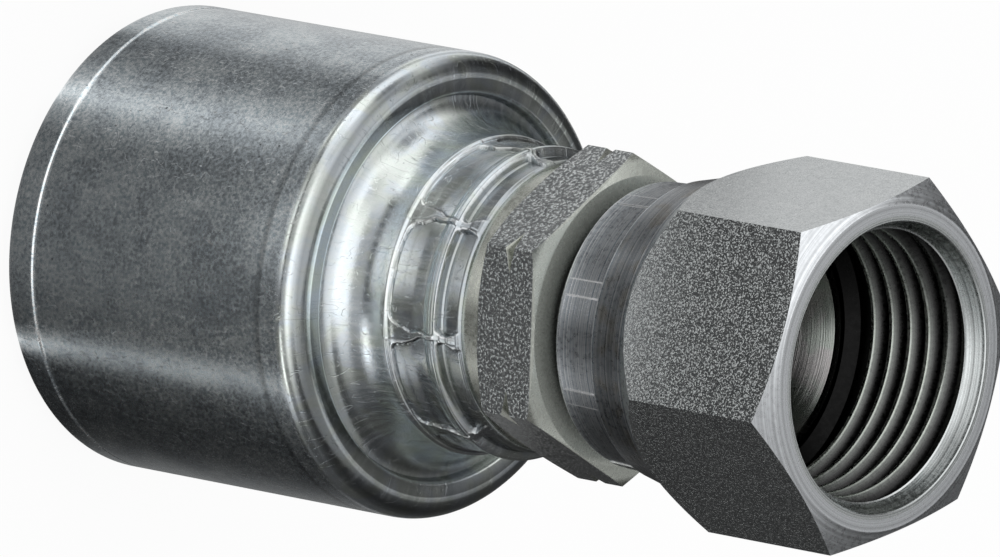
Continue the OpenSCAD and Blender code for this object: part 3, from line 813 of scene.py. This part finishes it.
class FITTING_OT_add_mouth_cone(bpy.types.Operator):
    """Adds the turned cone that leads from the nut's face into the thread"""

    bl_idname = "fitting.add_mouth_cone"
    bl_label = "Add Mouth Cone"

    def execute(self, context):
        sizes = context.scene.fitting_thread
        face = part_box("swivel_nut")[1].z
        bottom = face - sizes.lead_depth
        top = face - 0.01 * MM
        outer = sizes.counterbore + 0.03 * MM
        cone = draw_outline("mouth_cone", [
            (sizes.lead_in, bottom), (sizes.lead_in + 0.12 * MM, bottom + 0.06 * MM),
            (sizes.mouth - 0.06 * MM, face - 0.3 * MM), (sizes.mouth, face - 0.08 * MM),
            (sizes.mouth + 0.08 * MM, top), (outer + sizes.bevel, top),
            (outer, face - 2 * sizes.bevel), (outer, bottom)])
        sweep_round(cone, sizes.steps)
        face_outwards()
        smooth_by_angle(cone, 25)
        cone.data.materials.append(self.finish())
        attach(cone, "nut")
        return {"FINISHED"}

    def finish(self):
        shade = Shader("mouth_turned_steel")
        rings = turned_lines(shade, shade.minus(shade.z, shade.r), 3.5)
        grain = shade.noise(2.4, 4.0, 0.65)
        colour = shade.shaded((0.86, 0.90, 0.90), shade.step(rings, 0.36, 0.6, 0.35, 1.0))
        colour = shade.mottled(0.3, colour, grain, 0.3, 0.7)
        rough = shade.step(grain, 0.3, 0.7, 0.18, 0.32)
        return shade.metal(colour, rough, shade.bump(rings, 0.6, 0.03))


# The camera, the floor, the tent and the lamps

# Zones of the tent's cloth, the later ones over the earlier. Each says whether the distance from the
# axis (r) or the height over the floor (z) tells it, the two places in millimetres between which it
# fades in, and its tones by their side of the axis, in degrees from the camera's side
ZONES = (
    # Under the stem
    ("r", 51.5, 56.0, (
        (-180, 0.1), (-150, 0.1), (-125, 0.5), (-105, 0.5), (-88, 0.26), (-60, 0.25), (-40, 0.25),
        (-20, 0.9), (-8, 1.1), (4, 0.8), (14, 0.14), (40, 0.12), (52, 0.5), (60, 0.6), (72, 0.15),
        (100, 0.05), (150, 0.05), (180, 0.1))),
    # Under the nut
    ("r", 76.0, 82.0, (
        (-180, 0.3), (-160, 0.72), (-100, 0.82), (-85, 0.7), (-70, 1.3), (-56, 1.5), (-46, 0.1),
        (24, 0.06), (34, 1.4), (50, 1.7), (62, 0.5), (75, 0.06), (140, 0.05), (160, 0.1), (180, 0.3))),
    # The far part of the floor
    ("r", 105.0, 130.0, (
        (-180, 0.1), (-140, 0.05), (-118, 0.5), (-100, 0.9), (-70, 1.1), (-45, 0.8), (-25, 0.42),
        (30, 0.38), (50, 0.2), (80, 0.06), (140, 0.04), (180, 0.1))),
    # Round the fitting
    ("z", 30.0, 80.0, (
        (-180, 0.1), (-142, 0.05), (-128, 0.07), (-118, 0.5), (-109, 1.2), (-100, 0.7), (-92, 0.25),
        (-84, 0.3), (-76, 0.9), (-70, 1.25), (-60, 0.9), (-48, 0.6), (-28, 1.1), (22, 1.25), (42, 0.8),
        (58, 0.4), (76, 0.12), (100, 0.05), (140, 0.04), (165, 0.08), (180, 0.1))),
    # At the height of the shoulders
    ("z", 140.0, 185.0, (
        (-180, 0.18), (-150, 0.12), (-130, 0.16), (-112, 0.8), (-92, 0.7), (-70, 1.2), (-45, 1.2),
        (24, 1.35), (40, 0.55), (52, 0.14), (80, 0.07), (110, 0.06), (150, 0.08), (180, 0.18))),
    # Over the fitting
    ("z", 226.0, 233.0, (
        (-180, 0.55), (-165, 0.6), (-145, 1.2), (-110, 1.3), (-95, 1.0), (-45, 1.1), (40, 1.15),
        (75, 0.5), (100, 0.4), (135, 0.4), (160, 0.45), (180, 0.55))))
# Tones of the cloth next to the fitting, by the side of the shell that shows them
UNDER_SHELL = (
    (-90, 0.2), (-84, 0.7), (-66, 0.8), (-57, 0.7), (-52, 0.25), (-43, 0.28), (-36, 0.6), (-31, 1.25),
    (-27, 0.5), (-20, 0.2), (-5, 0.22), (12, 0.2), (28, 0.09), (31, 0.3), (33, 1.0), (34.5, 0.5),
    (37, 0.05), (54, 0.03), (64, 0.04), (78, 0.2), (86, 0.25), (90, 0.1))


def view_axes(view):
    """The directions of the picture: to its right, up it, and back to the camera."""
    near = Vector((math.cos(view.azimuth), math.sin(view.azimuth), 0))
    side = Vector((0, 0, 1)).cross(near)
    back = near * math.cos(view.elevation) + Vector((0, 0, math.sin(view.elevation)))
    ahead = Vector((0, 0, math.cos(view.elevation))) - near * math.sin(view.elevation)
    right = ahead * math.cos(view.slope) - side * math.sin(view.slope)
    down = ahead * math.sin(view.slope) + side * math.cos(view.slope)
    return right, -down, back


class FITTING_OT_add_camera(bpy.types.Operator):
    """Adds the camera at the photograph's angle"""

    bl_idname = "fitting.add_camera"
    bl_label = "Add Camera"

    def execute(self, context):
        view = context.scene.fitting_view
        right, up, back = view_axes(view)
        data = bpy.data.cameras.new("camera")
        camera = bpy.data.objects.new("camera", data)
        context.collection.objects.link(camera)
        turn = Matrix((right, up, back)).transposed().to_4x4()
        camera.matrix_world = Matrix.Translation(Vector(view.target) + back * view.distance) @ turn
        data.sensor_fit = "HORIZONTAL"
        data.lens = data.sensor_width * view.distance / view.width
        data.clip_start = 0.01
        data.clip_end = 50.0
        context.scene.camera = camera
        return {"FINISHED"}


class FITTING_OT_add_studio(bpy.types.Operator):
    """Adds the floor, the light tent, the lamps and the room's light"""

    bl_idname = "fitting.add_studio"
    bl_label = "Add Studio"

    def execute(self, context):
        studio = context.scene.fitting_studio
        clear_selection()
        bpy.ops.mesh.primitive_plane_add(size=studio.floor_size, location=(0, 0, 0))
        floor = context.object
        floor.name = "floor"
        floor.data.materials.append(self.paper(studio))
        self.tent(context, studio)
        self.lamps(context, studio)
        self.room(context, studio)
        return {"FINISHED"}

    def paper(self, studio):
        shade = Shader("floor_paper")
        matt = shade.node("ShaderNodeBsdfDiffuse", {"Color": (0.9, 0.9, 0.9)})
        white = shade.node("ShaderNodeEmission")
        share = shade.times(shade.seen(), studio.floor_glow)
        both = shade.node("ShaderNodeMixShader", {0: share, 1: matt.outputs[0], 2: white.outputs[0]})
        return shade.glow(both)

    def tent(self, context, studio):
        """A half ball of cloth that only reflections show, with dark panels between its light ones."""
        clear_selection()
        bpy.ops.mesh.primitive_uv_sphere_add(segments=64, ring_count=32, radius=studio.tent_radius)
        tent = context.object
        tent.name = "light_tent"
        bpy.ops.object.mode_set(mode="EDIT")
        bpy.ops.mesh.select_all(action="SELECT")
        bpy.ops.mesh.bisect(plane_co=(0, 0, 0.2 * MM), plane_no=(0, 0, 1), threshold=0.01 * MM,
                            clear_inner=True, use_fill=True)
        bpy.ops.object.mode_set(mode="OBJECT")
        tent.visible_camera = False
        tent.visible_diffuse = False
        tent.visible_transmission = False
        tent.visible_shadow = False
        tent.data.materials.append(self.cloth(context, studio))
        return tent

    def cloth(self, context, studio):
        view = context.scene.fitting_view
        shade = Shader("tent_cloth")
        away = shade.plus(shade.minus(shade.turn, view.azimuth), math.tau + math.pi)
        around = shade.minus(shade.math("MODULO", away, math.tau), math.pi)
        degrees = shade.times(around, 180 / math.pi)
        side = self.wall_side(shade, around, SHELL_HIGH.x / MM)
        colour = shade.ramp(shade.times(side, 180 / math.pi), -90.0, 90.0, UNDER_SHELL)
        for key, low, high, stops in ZONES:
            share = shade.step(getattr(shade, key), low, high)
            colour = shade.mix(share, colour, shade.ramp(degrees, -180.0, 180.0, stops))
        lit = shade.node("ShaderNodeEmission", {"Color": colour, "Strength": studio.tent_level})
        return shade.glow(lit)

    def wall_side(self, shade, around, radius):
        """The side of a round wall in which the camera sees a place on the cloth under the fitting."""
        sideways = shade.math("DIVIDE", radius, shade.math("MAXIMUM", shade.r, radius * 1.02))
        side = shade.times(around, 0.62)
        for _ in range(3):
            leaning = shade.math("ARCSINE", shade.times(shade.math("SINE", side), sideways))
            side = shade.times(shade.plus(around, leaning), 0.5)
        return side

    def lamps(self, context, studio):
        right, up, back = view_axes(context.scene.fitting_view)
        middle = Vector(context.scene.fitting_view.target)
        plans = [("key", back * 0.5 + up * 0.75 - right * 0.1, 0.35, 1.0),
                 ("side", back * 0.6 - up * 0.2 + right * 0.5, 0.35, 0.4)]
        for name, offset, size, share in plans:
            data = bpy.data.lights.new(name, "AREA")
            data.size = size
            data.energy = studio.lamp_power * share
            lamp = bpy.data.objects.new(name, data)
            context.collection.objects.link(lamp)
            lamp.visible_glossy = False
            lamp.location = middle + offset
            lamp.rotation_euler = (-offset).to_track_quat("-Z", "Y").to_euler()

    def room(self, context, studio):
        world = bpy.data.worlds.new("room")
        context.scene.world = world
        world.cycles.sampling_method = "NONE"
        world.use_nodes = True
        nodes = Nodes(world.node_tree)
        level = nodes.node("ShaderNodeMapRange", {0: nodes.seen(), 3: studio.fill_level, 4: 1.0})
        light = nodes.node("ShaderNodeBackground", {"Color": (1.0, 1.0, 1.0), "Strength": level.outputs[0]})
        nodes.node("ShaderNodeOutputWorld", {"Surface": light.outputs[0]})
        context.scene.view_settings.view_transform = "Standard"


class FITTING_PT_panel(bpy.types.Panel):
    """Lists the steps that dress the fitting"""

    bl_label = "Crimp Hose Fitting"
    bl_idname = "FITTING_PT_panel"
    bl_space_type = "VIEW_3D"
    bl_region_type = "UI"
    bl_category = "Fitting"

    def draw(self, context):
        for step in STEPS:
            self.layout.operator(step.bl_idname)
        for name in GROUPS:
            group = getattr(context.scene, name)
            for key in group.__annotations__:
                self.layout.prop(group, key)


STEPS = (
    FITTING_OT_add_camera, FITTING_OT_add_studio, FITTING_OT_add_shell,
    FITTING_OT_finish_sleeve, FITTING_OT_finish_stem, FITTING_OT_finish_nut, FITTING_OT_add_thread,
    FITTING_OT_add_mouth_cone)
GROUPS = {
    "fitting_view": ViewSettings, "fitting_studio": StudioSettings,
    "fitting_finish": FinishSettings, "fitting_shell": ShellSettings, "fitting_thread": ThreadSettings}


def register():
    for group in GROUPS.values():
        bpy.utils.register_class(group)
    for name, group in GROUPS.items():
        setattr(bpy.types.Scene, name, PointerProperty(type=group))
    for step in STEPS:
        bpy.utils.register_class(step)
    bpy.utils.register_class(FITTING_PT_panel)


def unregister():
    bpy.utils.unregister_class(FITTING_PT_panel)
    for step in reversed(STEPS):
        bpy.utils.unregister_class(step)
    for name, group in GROUPS.items():
        delattr(bpy.types.Scene, name)
        bpy.utils.unregister_class(group)


def main():
    register()
    for step in STEPS:
        family, name = step.bl_idname.split(".")
        if getattr(getattr(bpy.ops, family), name)() != {"FINISHED"}:
            raise RuntimeError(f"{step.bl_idname} did not finish")


if __name__ == "__main__":
    main()
